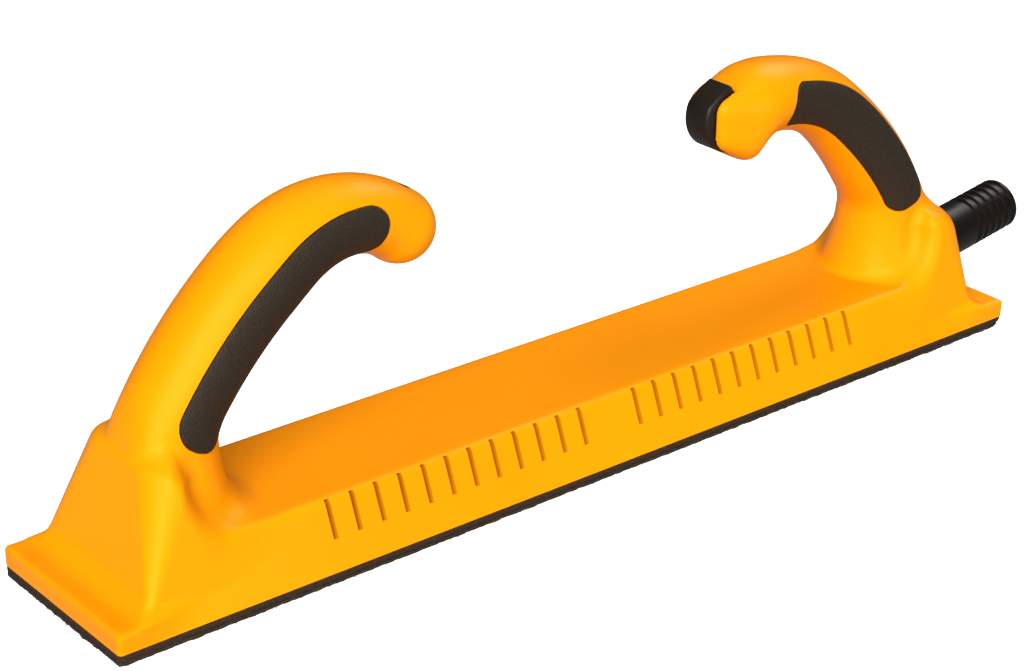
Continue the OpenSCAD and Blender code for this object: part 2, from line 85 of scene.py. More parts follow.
class Handle:
    """A hooked handle: a straight foot, two arcs and a straight tip in the middle plane.

    The seam is where the path starts, and lean its angle there. Bends gives the radius and
    the turn of the lower arc and of the upper one, run the length of the tip.
    """

    def __init__(self, sign, seam, lean, bends, run, girth):
        self.sign = sign
        self.girth = girth
        self.run = run
        low_radius, low_turn, high_radius, high_turn = bends
        start = math.radians(lean)
        first = start + math.radians(low_turn)
        last = first + math.radians(high_turn)
        low = np.array(seam) - low_radius * self.ray(start)
        high = low + (low_radius - high_radius) * self.ray(first)
        self.bend = low_radius * (first - start)
        self.arcs = (
            (low, low_radius, start, first, 0.0),
            (high, high_radius, first, last, self.bend),
        )
        self.length = self.bend + high_radius * (last - first)

    @staticmethod
    def ray(angle):
        return np.array([math.cos(angle), math.sin(angle)])

    def at(self, s):
        """Centre points and outward angles at distances s from the seam."""
        s = np.asarray(s, dtype=float)
        low, high = self.arcs
        inner = np.clip(s, 0.0, self.length)
        on_high = inner > self.bend
        angle = np.where(on_high, high[2] + (inner - self.bend) / high[1], low[2] + inner / low[1])
        radius = np.where(on_high, high[1], low[1])
        centre_u = np.where(on_high, high[0][0], low[0][0])
        centre_h = np.where(on_high, high[0][1], low[0][1])
        beyond = s - inner
        u = centre_u + radius * np.cos(angle) - beyond * np.sin(angle)
        h = centre_h + radius * np.sin(angle) + beyond * np.cos(angle)
        return u, h, angle

    def spots(self, path, radius, turn, side=1.0):
        """Points at a radius and turn round the path, with turn 0 straight to the side."""
        u, h, angle = path
        out = radius * np.sin(turn)
        x = self.sign * (u + out * np.cos(angle))
        return x, side * OVAL * radius * np.cos(turn), h + out * np.sin(angle)

    def plant(self, foot_u, place, spread):
        """Thickens the foot inward to an upright stem over foot_u, which leaves the path at place."""
        top_u, top_h, angle = (float(c) for c in self.at(place))
        radius = (foot_u - top_u) / (1.0 - math.cos(angle))
        centre = np.array([top_u, top_h]) - radius * self.ray(angle)
        self.stem = (centre, radius, 0.0, angle, place - radius * angle)
        self.stem_top = top_h
        self.foot_u = foot_u
        self.spread = spread

    @staticmethod
    def on_arc(arc, h):
        """How far out an arc is at height h."""
        (centre_u, centre_h), radius = arc[:2]
        return centre_u + np.sqrt(radius**2 - np.clip(h - centre_h, 0.0, radius) ** 2)

    def near(self, u, h):
        """Distance from the centreline and place along it."""
        best = np.hypot(u - self.foot_u, np.maximum(h - self.stem[0][1], 0.0))
        place = np.zeros(np.shape(u))
        for centre, radius, start, stop, begin in (self.stem,) + self.arcs:
            angle = np.clip(np.arctan2(h - centre[1], u - centre[0]), start, stop)
            gap = np.hypot(u - centre[0] - radius * np.cos(angle), h - centre[1] - radius * np.sin(angle))
            closer = gap < best
            best = np.where(closer, gap, best)
            place = np.where(closer, begin + radius * (angle - start), place)
        base_u, base_h, angle = self.at(self.length)
        along_u, along_h = -math.sin(angle), math.cos(angle)
        t = np.clip((u - base_u) * along_u + (h - base_h) * along_h, 0.0, self.run)
        gap = np.hypot(u - base_u - t * along_u, h - base_h - t * along_h)
        closer = gap < best
        best = np.where(closer, gap, best)
        place = np.where(closer, self.length + t, place)
        # between the stem and the path the flanks are flat
        within = (u > self.on_arc(self.stem, h)) & (u < self.on_arc(self.arcs[0], h)) & (h < self.stem_top)
        return np.where(within, 0.0, best), place

    def skin(self, u, y, h):
        """The handle's surface, which flares below the pedestal's top."""
        gap, place = self.near(u, h)
        flare = self.spread * np.clip((FLARE_TOP - h) / (FLARE_TOP - BODY_TOP), 0.0, 1.0) ** 2
        return np.hypot(gap, y / OVAL) - self.girth(place) - flare


def tapered(foot, thinning, thin_span, swelling, swell_span):
    """A handle's radius along its path, which thins over one span and swells over another."""

    def girth(s):
        return foot - thinning * ease(s, *thin_span) + swelling * ease(s, *swell_span)

    return girth


FRONT = Handle(
    sign=-1.0,
    seam=(164.0, 44.0),
    lean=27.8,
    bends=(150.0, 27.2, 39.3, 73.0),
    run=1.0,
    girth=tapered(15.5, 3.0, (60.0, 118.0), 0.3, (116.0, 132.0)),
)
FRONT.stand = Stand(foot=189.8, rake=0.275, shoulder=3.6, top=48.7)
FRONT.plant(foot_u=159.1, place=20.0, spread=5.0)
FRONT.root = Root(fillet=9.0, flank=7.0, rim=176.0, back=0.6)

REAR = Handle(
    sign=1.0,
    seam=(166.4, 44.0),
    lean=26.6,
    bends=(151.6, 22.2, 54.4, 41.2),
    run=6.0,
    girth=tapered(14.9, 1.5, (20.0, 68.0), 0.3, (75.0, 100.0)),
)
REAR.stand = Stand(foot=185.6, rake=0.025, shoulder=8.5, top=46.0)
REAR.plant(foot_u=161.2, place=20.0, spread=5.3)
REAR.root = Root(fillet=2.6, flank=4.5, rim=220.0, back=3.0)

# the regulator's drum, its slot in the rear handle and the front edge of the visor over it
DRUM = (74.97, 101.45)
SLOT_RADIUS = 13.6
SLOT_HALF = 6.35
VISOR = (75.4, 110.45)

# where along u the forms of an end change
PEDESTAL_SPAN = (138.0, 168.0)
FLANGE_SPAN = (166.0, 194.0)
RAMP_SPAN = (148.0, 158.0)
SHOULDER_SPAN = (169.0, 181.0)
FILLET_SPAN = (143.0, 153.0)
SNOUT_SPAN = (84.0, 106.0)
# and at which heights
FLANGE_FADE = (6.2, 10.0)
CORNER_FADE = (6.0, 10.0)
FILLET_FADE = (10.0, 22.0)
SNOUT_FADE = (62.0, 72.0)


def moulding(end, u, y, h):
    """The body, pedestal and flange of one end."""
    # the sides lean less on the pedestal, and the flange widens them again at the foot
    upright, inset, lean_scale = 0.22, 1.75, 0.96
    half = HALF_WIDTH - SLOPE * h
    half = half + np.maximum(upright * h - inset, 0.0) * ease(u, *PEDESTAL_SPAN)
    flange = ease(u, *FLANGE_SPAN) * (1.0 - ease(h, *FLANGE_FADE))
    half = half + SLOPE * np.clip(h, 0.0, FLANGE_TOP) * flange
    side = (np.abs(y) - half) * lean_scale
    foot_fillet, end_edge, top_edge = 6.0, 1.5, 1.5
    outer = (u - end.foot + end.rake * h) / math.hypot(1.0, end.rake)
    cap = round_min(outer, h - FLANGE_TOP, foot_fillet)
    cap = round_max(cap, u - HALF_LENGTH, end_edge)
    # the upright corners are tight at the foot and wide at the top
    tight, step, growth, growth_from = 1.3, 1.4, 0.27, 9.0
    corner = tight + step * ease(h, *CORNER_FADE) + growth * np.clip(h - growth_from, 0.0, 40.0)
    plan = round_max(side, cap, corner)
    # a hollow ramp climbs from the body's top to the pedestal
    ramp_u, ramp_radius, ramp_lean = 146.0, 20.0, 0.5
    over = h - BODY_TOP - ramp_radius
    out = np.maximum(u - ramp_u - ramp_lean * np.maximum(over, 0.0), 0.0)
    ramp = ramp_radius - np.hypot(out, np.minimum(over, 0.0))
    ramp = round_max(ramp, h - end.top, top_edge)
    # the top's edges are tight on the body, wider on the ramp and the handle's own at the end
    body_edge, ramp_edge = 2.0, 5.6
    edge = body_edge + (ramp_edge - body_edge) * ease(u, *RAMP_SPAN)
    edge = edge + (end.shoulder - ramp_edge) * ease(u, *SHOULDER_SPAN)
    return round_max(plan, ramp, edge), outer


def rooted(handle, u, y, h):
    """One end's moulding with its handle grown out of it."""
    back_edge, thin, fade, least = 2.5, 0.8, 9.0, 0.1
    root = handle.root
    form, outer = moulding(handle.stand, u, y, h)
    tube = round_max(handle.skin(u, y, h), outer + root.back, back_edge)
    fillet = root.fillet + (root.flank - root.fillet) * ease(u, *FILLET_SPAN)
    fillet = fillet + (thin - fillet) * ease(u, root.rim - fade, root.rim)
    fillet = fillet * ease(h, *FILLET_FADE) + least
    return round_min(form, tube, fillet)


def rear_nose(u, y, h):
    """The snout of the rear handle, an egg that narrows to two thin cheeks at the front."""
    crown_u, crown_h, crown_drop, crown_run = 95.0, 117.2, 9.4, 30.0
    top = crown_h - crown_drop * (np.maximum(crown_u - u, 0.0) / crown_run) ** 1.5
    chin_u, chin_h, chin_radius, throat_u = 83.0, 81.4, 1.5, 96.0
    rise = np.where(u < chin_u, 0.62, 1.0)
    bottom = chin_h + np.hypot(rise * (np.minimum(u, throat_u) - chin_u), chin_radius)
    middle = 0.5 * (top + bottom)
    tall = 0.5 * (top - bottom)
    cheek_u, cheek_half, cheek_growth, cheek_run = 64.0, 8.1, 6.4, 26.0
    grown = np.clip((u - cheek_u) / cheek_run, 0.0, 1.0)
    half = cheek_half + cheek_growth * np.sin(0.5 * math.pi * grown)
    # boxy at the face, round at the tube
    boxy, rounder, boxy_span = 4.2, 2.1, (66.0, 90.0)
    power = boxy - rounder * ease(u, *boxy_span)
    reach = (np.abs(y / half) ** power + np.abs((h - middle) / tall) ** power) ** (1.0 / power)
    egg = (reach - 1.0) * np.minimum(half, tall)
    face_u, face_edge = 65.3, 3.5
    return round_max(egg, face_u - u, face_edge)


def rear_form(u, y, h):
    """The rear end with the snout, and the drum's slot cut into it."""
    nose_fillet, slot_edge = 3.0, 0.5
    form = rooted(REAR, u, y, h)
    nose = round_min(form, rear_nose(u, y, h), nose_fillet)
    # above the body the snout melts into the tube
    away = ease(u, *SNOUT_SPAN)
    share = away + (1.0 - away) * (1.0 - ease(h, *SNOUT_FADE))
    form = nose + (form - nose) * share
    visor = np.maximum(VISOR[0] - u, VISOR[1] - h)
    slot = np.maximum(np.hypot(u - DRUM[0], h - DRUM[1]) - SLOT_RADIUS, np.abs(y) - SLOT_HALF)
    slot = np.maximum(slot, -visor)
    return round_max(form, -slot, slot_edge)


def yellow(x, y, h):
    """The whole yellow moulding, both ends and both handles."""
    out = np.empty(np.shape(x))
    front = x < 0.0
    rear = ~front
    out[front] = rooted(FRONT, -x[front], y[front], h[front])
    out[rear] = rear_form(x[rear], y[rear], h[rear])
    return out


CORNERS = np.array([(i, j, k) for i in (0, 1) for j in (0, 1) for k in (0, 1)])


def surface_net(field, low, high, step):
    """Vertices and quads on the field's zero surface inside a box."""
    axes = [np.arange(a, b + step, step) for a, b in zip(low, high)]
    value = field(*[g.ravel() for g in np.meshgrid(*axes, indexing="ij")])
    value = value.reshape([len(a) for a in axes])
    for axis in range(3):
        for place in (0, -1):
            wall = [slice(None)] * 3
            wall[axis] = place
            value[tuple(wall)] = np.maximum(value[tuple(wall)], 0.5 * step)
    inside = value < 0.0
    n = [len(a) - 1 for a in axes]
    total = np.zeros(n, dtype=int)
    for i, j, k in CORNERS:
        total += inside[i : i + n[0], j : j + n[1], k : k + n[2]]
    active = (total > 0) & (total < 8)
    cells = np.argwhere(active)
    index = np.full(n, -1)
    index[active] = np.arange(len(cells))
    corner = [value[tuple((cells + c).T)] for c in CORNERS]
    place = np.zeros((len(cells), 3))
    count = np.zeros(len(cells))
    for a in range(8):
        for b in range(a + 1, 8):
            if np.abs(CORNERS[a] - CORNERS[b]).sum() != 1:
                continue
            cross = (corner[a] < 0.0) != (corner[b] < 0.0)
            t = np.where(cross, corner[a] / np.where(cross, corner[a] - corner[b], 1.0), 0.0)
            point = CORNERS[a] + t[:, None] * (CORNERS[b] - CORNERS[a])
            place += np.where(cross[:, None], point, 0.0)
            count += cross
    verts = np.array(low) + (cells + place / count[:, None]) * step
    quads = []
    unit = np.eye(3, dtype=int)
    for axis in range(3):
        here = [slice(1, m) for m in n]
        here[axis] = slice(0, n[axis])
        there = list(here)
        there[axis] = slice(1, n[axis] + 1)
        start = inside[tuple(here)]
        p = np.argwhere(start != inside[tuple(there)])
        out = start[tuple(p.T)]
        p = p + 1 - unit[axis]
        b, c = unit[(axis + 1) % 3], unit[(axis + 2) % 3]
        quad = np.stack([index[tuple((p - d).T)] for d in (b + c, c, 0 * c, b)], axis=1)
        quad[~out] = quad[~out][:, ::-1]
        quads.append(quad)
    return verts, np.concatenate(quads)


def pull(field, verts, rounds):
    """Moves vertices along the field's slope onto its zero surface."""
    feel, flattest, farthest = 0.04, 0.2, 0.6
    for _ in range(rounds):
        value = field(*verts.T)
        slope = np.zeros_like(verts)
        for axis in range(3):
            nudge = np.zeros(3)
            nudge[axis] = feel
            slope[:, axis] = (field(*(verts + nudge).T) - field(*(verts - nudge).T)) / (2.0 * feel)
        size = np.maximum((slope**2).sum(axis=1), flattest)
        verts = verts - np.clip(value / size, -farthest, farthest)[:, None] * slope
    return verts


def even_out(field, verts, quads, rounds):
    """Spreads the vertices evenly over the surface."""
    ends = np.concatenate([quads[:, [i, (i + 1) % 4]] for i in range(4)])
    for _ in range(rounds):
        total = np.zeros_like(verts)
        count = np.zeros(len(verts))
        np.add.at(total, ends[:, 0], verts[ends[:, 1]])
        np.add.at(count, ends[:, 0], 1.0)
        verts = 0.5 * verts + 0.5 * total / count[:, None]
        verts = pull(field, verts, 1)
    return pull(field, verts, 2)


def show(name, data):
    """A new object in the scene."""
    obj = bpy.data.objects.new(name, data)
    bpy.context.collection.objects.link(obj)
    return obj


def yellow_piece(name, low, high, step):
    """The yellow moulding inside a box, as an even mesh."""
    rounds = 3
    verts, quads = surface_net(yellow, low, high, step)
    verts = even_out(yellow, verts, quads, rounds)
    mesh = bpy.data.meshes.new(name)
    mesh.from_pydata(((verts + (0.0, 0.0, RIM)) * MM).tolist(), [], quads.tolist())
    mesh.validate()
    return show(name, mesh)


def from_bmesh(name, bm):
    """Takes a bmesh in millimetres over the rim."""
    bmesh.ops.recalc_face_normals(bm, faces=bm.faces)
    bm.transform(Matrix.Scale(MM, 4) @ Matrix.Translation((0.0, 0.0, RIM)))
    mesh = bpy.data.meshes.new(name)
    bm.to_mesh(mesh)
    bm.free()
    return show(name, mesh)


def flatten(obj):
    """Turns an object's modifiers into plain mesh."""
    bpy.context.view_layer.update()
    state = obj.evaluated_get(bpy.context.evaluated_depsgraph_get())
    mesh = bpy.data.meshes.new_from_object(state)
    old = obj.data
    obj.modifiers.clear()
    obj.data = mesh
    bpy.data.meshes.remove(old)
    return obj


def carve(obj, *cutters, operation="DIFFERENCE"):
    """Cuts, joins or crosses a piece with cutters, which are used up."""
    for cutter in cutters:
        cut = obj.modifiers.new("cut", "BOOLEAN")
        cut.object = cutter
        cut.operation = operation
        cut.solver = "MANIFOLD"
        flatten(obj)
        bpy.data.objects.remove(cutter)


def soften(obj, angle=32.0):
    """Smooth shading that keeps real edges sharp."""
    mesh = obj.data
    mesh.polygons.foreach_set("use_smooth", np.ones(len(mesh.polygons), dtype=bool))
    mesh.set_sharp_from_angle(angle=math.radians(angle))
    return obj


def tube_of(name, rings):
    """A solid with a closed skin over a stack of rings."""
    bm = bmesh.new()
    stack = [[bm.verts.new(v) for v in ring] for ring in rings]
    for below, above in zip(stack, stack[1:]):
        for i, here in enumerate(below):
            j = (i + 1) % len(below)
            bm.faces.new((here, below[j], above[j], above[i]))
    bm.faces.new(stack[0][::-1])
    bm.faces.new(stack[-1])
    return from_bmesh(name, bm)


def box(name, low, high):
    """A plain block between two corners."""
    (x, y, bottom), (far_x, far_y, top) = low, high
    plan = ((x, y), (far_x, y), (far_x, far_y), (x, far_y))
    return tube_of(name, [[(*spot, level) for spot in plan] for level in (bottom, top)])


def lathe(profile, base, axis, steps):
    """A solid turned about an axis, from closed (along, radius) points."""
    bm = bmesh.new()
    turn = Vector((0.0, 0.0, 1.0)).rotation_difference(Vector(axis)).to_matrix().to_4x4()
    whole = Matrix.Translation(base) @ turn
    rings = []
    for i in range(steps):
        angle = math.tau * i / steps
        ring = [
            bm.verts.new(whole @ Vector((r * math.cos(angle), r * math.sin(angle), w))) for w, r in profile
        ]
        rings.append(ring)
    count = len(profile)
    for i in range(steps):
        here, there = rings[i], rings[(i + 1) % steps]
        for k in range(count):
            m = (k + 1) % count
            bm.faces.new((here[k], there[k], there[m], here[m]))
    return bm


class Expr:
    """A node socket that takes ordinary arithmetic."""

    def __init__(self, nodes, socket):
        self.nodes = nodes
        self.socket = socket

    def _math(self, operation, a, b):
        node = self.nodes.add("ShaderNodeMath", {"operation": operation}, {0: a, 1: b})
        return Expr(self.nodes, node.outputs[0])

    def __add__(self, other):
        return self._math("ADD", self, other)

    def __sub__(self, other):
        return self._math("SUBTRACT", self, other)

    def __rsub__(self, other):
        return self._math("SUBTRACT", other, self)

    def __mul__(self, other):
        return self._math("MULTIPLY", self, other)

    __radd__ = __add__
    __rmul__ = __mul__


class Nodes:
    """A node tree, filled node by node."""

    def __init__(self, tree):
        self.tree = tree

    def add(self, kind, settings=(), inputs=()):
        node = self.tree.nodes.new(kind)
        for key, value in dict(settings).items():
            setattr(node, key, value)
        for key, value in dict(inputs).items():
            self.feed(node.inputs[key], value)
        return node

    def feed(self, socket, value):
        """Links a node's first output, a socket or an Expr to a socket, or sets its plain value."""
        if isinstance(value, bpy.types.Node):
            value = value.outputs[0]
        elif isinstance(value, Expr):
            value = value.socket
        if isinstance(value, bpy.types.NodeSocket):
            self.tree.links.new(value, socket)
        else:
            socket.default_value = value

    def span(self, value, low, high):
        """Goes straight from 0 where the value is low to 1 where it is high."""
        node = self.add("ShaderNodeMapRange", inputs={"Value": value, "From Min": low, "From Max": high})
        return Expr(self, node.outputs[0])


class Grow(Nodes):
    """A small geometry node tree with named inputs."""

    def __init__(self, name, inputs):
        super().__init__(bpy.data.node_groups.new(name, "GeometryNodeTree"))
        sockets = self.tree.interface
        sockets.new_socket("Geometry", in_out="OUTPUT", socket_type="NodeSocketGeometry")
        for label, kind in inputs.items():
            sockets.new_socket(label, in_out="INPUT", socket_type="NodeSocket" + kind)
        self.source = self.tree.nodes.new("NodeGroupInput")
        self.sink = self.tree.nodes.new("NodeGroupOutput")

    def given(self, label):
        return self.source.outputs[label]

    def close(self, pieces):
        """Makes plain painted mesh of the pieces."""
        whole = self.add("GeometryNodeRealizeInstances", inputs={"Geometry": pieces})
        paint = self.add(
            "GeometryNodeSetMaterial", inputs={"Geometry": whole, "Material": self.given("Material")}
        )
        self.feed(self.sink.inputs[0], paint)
        return self

    def run(self, name, values):
        """A new piece, grown from the values of the tree's inputs."""
        obj = show(name, bpy.data.meshes.new(name))
        mod = obj.modifiers.new("grow", "NODES")
        mod.node_group = self.tree
        for item in self.tree.interface.items_tree:
            if item.in_out == "INPUT" and item.name in values:
                mod[item.identifier] = values[item.name]
        return flatten(obj)


def row_tree():
    """Copies of one piece in a straight row."""
    kinds = {"Piece": "Object", "Count": "Int", "Start": "Vector", "Step": "Vector"}
    tree = Grow("row_of_copies", {**kinds, "Material": "Material"})
    count, start, step = (tree.given(label) for label in ("Count", "Start", "Step"))
    line = tree.add(
        "GeometryNodeMeshLine",
        {"mode": "OFFSET"},
        {"Count": count, "Start Location": start, "Offset": step},
    )
    source = tree.add("GeometryNodeObjectInfo", inputs={"Object": tree.given("Piece")})
    copies = tree.add(
        "GeometryNodeInstanceOnPoints", inputs={"Points": line, "Instance": source.outputs["Geometry"]}
    )
    return tree.close(copies)


ROW = row_tree()


def row(name, seed_piece, count, start, step):
    """A row of copies as one piece, with its start and step in millimetres."""
    values = {
        "Piece": seed_piece,
        "Count": count,
        "Start": [c * MM for c in start],
        "Step": [c * MM for c in step],
    }
    return ROW.run(name, values)


class Paint(Nodes):
    """A procedural material."""

    def __init__(self, name, specular=0.5, tint=(1.0, 1.0, 1.0, 1.0)):
        self.mat = bpy.data.materials.new(name)
        self.mat.use_nodes = True
        super().__init__(self.mat.node_tree)
        self.shader = self.tree.nodes["Principled BSDF"]
        self.shader.inputs["Specular IOR Level"].default_value = specular
        self.shader.inputs["Specular Tint"].default_value = tint
        coordinates = self.add("ShaderNodeTexCoord").outputs
        self.where = coordinates["Object"]
        self.facing = coordinates["Normal"]

    def noise(self, scale, detail=3.0):
        node = self.add(
            "ShaderNodeTexNoise", inputs={"Vector": self.where, "Scale": scale, "Detail": detail}
        )
        return Expr(self, node.outputs["Fac"])

    def cells(self, scale):
        node = self.add("ShaderNodeTexVoronoi", inputs={"Vector": self.where, "Scale": scale})
        return Expr(self, node.outputs["Distance"])

    def parts(self, vector):
        """The three shares of a vector socket."""
        node = self.add("ShaderNodeSeparateXYZ", inputs={0: vector})
        return [Expr(self, node.outputs[axis]) for axis in "XYZ"]

    def mix(self, factor, a, b):
        node = self.add("ShaderNodeMix", {"data_type": "RGBA"}, {0: factor, 6: a, 7: b})
        return node.outputs[2]

    def bump(self, height, strength, distance):
        node = self.add(
            "ShaderNodeBump", inputs={"Height": height, "Strength": strength, "Distance": distance}
        )
        return node.outputs["Normal"]

    def close(self, colour, rough, normal=None, metal=0.0):
        self.feed(self.shader.inputs["Base Color"], colour)
        self.feed(self.shader.inputs["Roughness"], rough)
        self.feed(self.shader.inputs["Metallic"], metal)
        if normal is not None:
            self.feed(self.shader.inputs["Normal"], normal)
        return self.mat


def tone(red, green, blue):
    """A colour by its screen values."""
    out = []
    for c in (red, green, blue):
        c = c / 255.0
        out.append(c / 12.92 if c <= 0.04045 else ((c + 0.055) / 1.055) ** 2.4)
    return (out[0], out[1], out[2], 1.0)


def yellow_plastic(name, paints_groove_shade):
    """The glossy yellow moulding, and for the housing the same with painted shade that darkens the walls
    of its grooves.
    """
    paint = Paint(name, specular=0.2, tint=(1.0, 0.8, 0.2, 1.0))
    cloud = paint.span(paint.noise(scale=14.0, detail=2.0), 0.35, 0.65)
    colour = paint.mix(cloud, tone(252, 149, 2), tone(254, 154, 3))
    if paints_groove_shade:
        # painted shade on the groove walls, which face along the block, on its sides and short of the
        # pedestals
        reach, side, soft = 0.123, 0.022, 0.001
        turn = paint.parts(paint.facing)[0]
        along, across, _ = paint.parts(paint.where)
        wall = paint.span(turn * turn, 0.2, 0.7)
        between = paint.span(along * along, reach**2, (reach - soft) ** 2)
        beside = paint.span(across * across, side**2, (side + soft) ** 2)
        # painted shade: a darker orange where the three masks meet
        colour = paint.mix(wall * between * beside, colour, tone(205, 127, 2))
    rough = 0.34 + 0.08 * paint.noise(scale=60.0)
    grain = paint.noise(scale=2600.0, detail=2.0)
    return paint.close(colour, rough, paint.bump(grain, strength=0.05, distance=0.0002))


def pebbled(name, specular, scale, light, dark, rough, patchy, relief):
    """Rubber with fine pebbles or open cells."""
    paint = Paint(name, specular)
    cell = paint.cells(scale)
    colour = paint.mix(paint.span(cell, 0.1, 0.6), light, dark)
    roughness = rough + patchy * paint.noise(scale=300.0)
    return paint.close(colour, roughness, paint.bump(1.0 - cell, strength=0.5, distance=relief))


def hook_fabric():
    """The tufted face that holds the abrasive."""
    paint = Paint("hook_fabric", specular=0.2)
    tuft = paint.cells(scale=1700.0)
    colour = paint.mix(paint.noise(scale=500.0), tone(44, 35, 27), tone(68, 54, 42))
    rough = 0.8 + 0.15 * paint.noise(scale=700.0)
    return paint.close(colour, rough, paint.bump(1.0 - tuft, strength=0.7, distance=0.0005))


def moulded(
    name, dark, light, rough, patchy, specular=0.3, cloud=120.0, patch=400.0, grain=3000.0, relief=0.08
):
    """Plain dark plastic or rubber: clouded, unevenly rough and finely grained."""
    paint = Paint(name, specular)
    colour = paint.mix(paint.noise(cloud), dark, light)
    roughness = rough + patchy * paint.noise(patch)
    normal = paint.bump(paint.noise(grain), strength=relief, distance=0.0002)
    return paint.close(colour, roughness, normal)


def metal(name, dark, light):
    """Brushed bare metal."""
    paint = Paint(name)
    colour = paint.mix(paint.noise(scale=300.0), dark, light)
    rough = 0.24 + 0.16 * paint.noise(scale=900.0)
    normal = paint.bump(paint.noise(scale=2400.0), strength=0.06, distance=0.0001)
    return paint.close(colour, rough, normal, metal=1.0)


PAINTS = {
    "yellow_plastic": yellow_plastic("yellow_plastic", paints_groove_shade=False),
    # the housing's yellow, with painted shade on its groove walls
    "grooved_plastic": yellow_plastic("grooved_plastic", paints_groove_shade=True),
    "grip_rubber": pebbled(
        "grip_rubber", specular=0.3, scale=1500.0, light=tone(51, 38, 24), dark=tone(38, 28, 17),
        rough=0.58, patchy=0.2, relief=0.0004,
    ),
    "black_plastic": moulded(
        "black_plastic", dark=tone(22, 16, 10), light=tone(32, 24, 15), rough=0.38, patchy=0.15,
    ),
    "hose_plastic": moulded(
        "hose_plastic", dark=tone(11, 8, 5), light=tone(18, 13, 8), rough=0.32, patchy=0.12,
    ),
    "plate_plastic": moulded(
        "plate_plastic", dark=tone(52, 50, 48), light=tone(64, 61, 58), rough=0.45, patchy=0.1,
        specular=0.4, cloud=90.0, patch=500.0, grain=2500.0, relief=0.1,
    ),
    "seal_rubber": moulded(
        "seal_rubber", dark=tone(24, 23, 22), light=tone(34, 32, 30), rough=0.7, patchy=0.1,
        cloud=200.0, patch=800.0, grain=4000.0, relief=0.15,
    ),
    "foam_rubber": pebbled(
        "foam_rubber", specular=0.2, scale=2200.0, light=tone(76, 55, 38), dark=tone(48, 36, 25),
        rough=0.86, patchy=0.1, relief=0.0003,
    ),
    "hook_fabric": hook_fabric(),
    "steel": metal("steel", tone(150, 150, 152), tone(190, 190, 190)),
    "brass": metal("brass", tone(170, 128, 58), tone(205, 165, 90)),
}


def dress(obj, slot, body, *nodes, look=None):
    """Paints a piece, hangs it on its body and lets it stand for its CAD nodes.

    A look is given where the paint isn't simply that of the slot.
    """
    obj.data.materials.clear()
    obj.data.materials.append(PAINTS[look or slot])
    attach(obj, body)
    if nodes:
        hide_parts(*nodes)


def sleeve(handle, name, length):
    """A plain solid round the handle's foot, a little larger than the tube."""
    spare, steps, rows = 0.9, 64, 70
    s = np.linspace(0.0, length, rows)[:, None]
    turn = 0.5 * math.pi - np.linspace(0.0, math.tau, steps, endpoint=False)
    rings = handle.spots(handle.at(s), handle.girth(s) + spare, turn)
    return tube_of(name, np.stack(rings, axis=-1))


class Grip(namedtuple("Grip", "handle span half rounds slants shift taper drift")):
    """The outline of a grip insert on the side of a handle.

    Span is its reach along the path and half its half width. Rounds and slants belong to its
    two ends. Shift moves it round the tube, and taper and drift narrow and move its far part.
    """

    # where along the path the far part sets in
    LATE_SPAN = (45.0, 90.0)

    def solid(self, name, side, spare, proud, depth):
        """A pad that stands proud of the skin, or with no proud height its pocket."""
        # the rows crowd at the ends and the columns at the edges
        rows, columns = 120, 25
        foot_rows, tip_rows = 20, 24
        foot_end, tip_start = 0.08, 0.9
        t = np.concatenate([
            np.linspace(0.0, foot_end, foot_rows, endpoint=False),
            np.linspace(foot_end, tip_start, rows - foot_rows - tip_rows, endpoint=False),
            np.linspace(tip_start, 1.0, tip_rows),
        ])
        across = np.linspace(-1.0, 1.0, columns)
        across = np.sign(across) * (1.0 - (1.0 - np.abs(across)) ** 1.6)
        foot, tip = self.rounds[0] + spare, self.rounds[1] + spare
        start, stop = self.span[0] - spare, self.span[1] + spare
        run = t * (stop - start)
        left = stop - start - run
        late = ease(start + run, *self.LATE_SPAN)
        half = self.half + spare - self.taper * late
        low = np.clip(foot - run, 0.0, foot)
        high = np.clip(tip - left, 0.0, tip)
        width = half - foot + np.sqrt(foot**2 - low**2)
        width = np.minimum(width, half - tip + np.sqrt(tip**2 - high**2))
        e = width[:, None] * across
        slant = self.slants[0] * (1.0 - ease(t, 0.0, 0.2)) + self.slants[1] * ease(t, 0.8, 1.0)
        s = start + run[:, None] + slant[:, None] * e
        path = self.handle.at(s)
        girth = self.handle.girth(s)
        turn = (e + self.shift + self.drift * late[:, None]) / girth
        # the real skin lies near the plain tube, and a few steps find it
        step, steps = 0.8, 8
        skin = girth
        for _ in range(steps):
            skin = skin - step * yellow(*self.handle.spots(path, skin, turn, side))
        end_edge, side_edge, edge_run, pocket_height = 0.3, 0.02, 1.2, 3.0
        edge = np.minimum(run, left)[:, None] + end_edge
        edge = np.minimum(edge, width[:, None] - np.abs(e) + side_edge)
        swell = pocket_height
        if proud > 0.0:
            swell = proud * np.sqrt(np.clip(edge / edge_run, 0.0, 1.0))
        sheets = []
        for radius in (skin + swell, skin - depth):
            sheet = self.handle.spots(path, radius, turn, side)
            sheets.append(np.stack(sheet, axis=-1).reshape(-1, 3))
        # both sheets, and walls between their rims
        grid = np.arange(rows * columns).reshape(rows, columns)
        corners = (grid[:-1, :-1], grid[:-1, 1:], grid[1:, 1:], grid[1:, :-1])
        quads = np.stack(corners, axis=-1).reshape(-1, 4)
        rim = np.concatenate([grid[0], grid[1:, -1], grid[-1, -2::-1], grid[-2:0:-1, 0]])
        after = np.roll(rim, -1)
        walls = np.column_stack([rim, grid.size + rim, grid.size + after, after])
        bm = bmesh.new()
        points = [bm.verts.new(v) for v in np.concatenate(sheets)]
        for face in np.concatenate([quads, grid.size + quads[:, ::-1], walls]).tolist():
            bm.faces.new([points[i] for i in face])
        return from_bmesh(name, bm)

    def pockets(self):
        """Cutters for the hollows that take the inserts."""
        spare, depth = 0.35, 2.4
        return [self.solid("pocket", side, spare, 0.0, depth) for side in (-1.0, 1.0)]


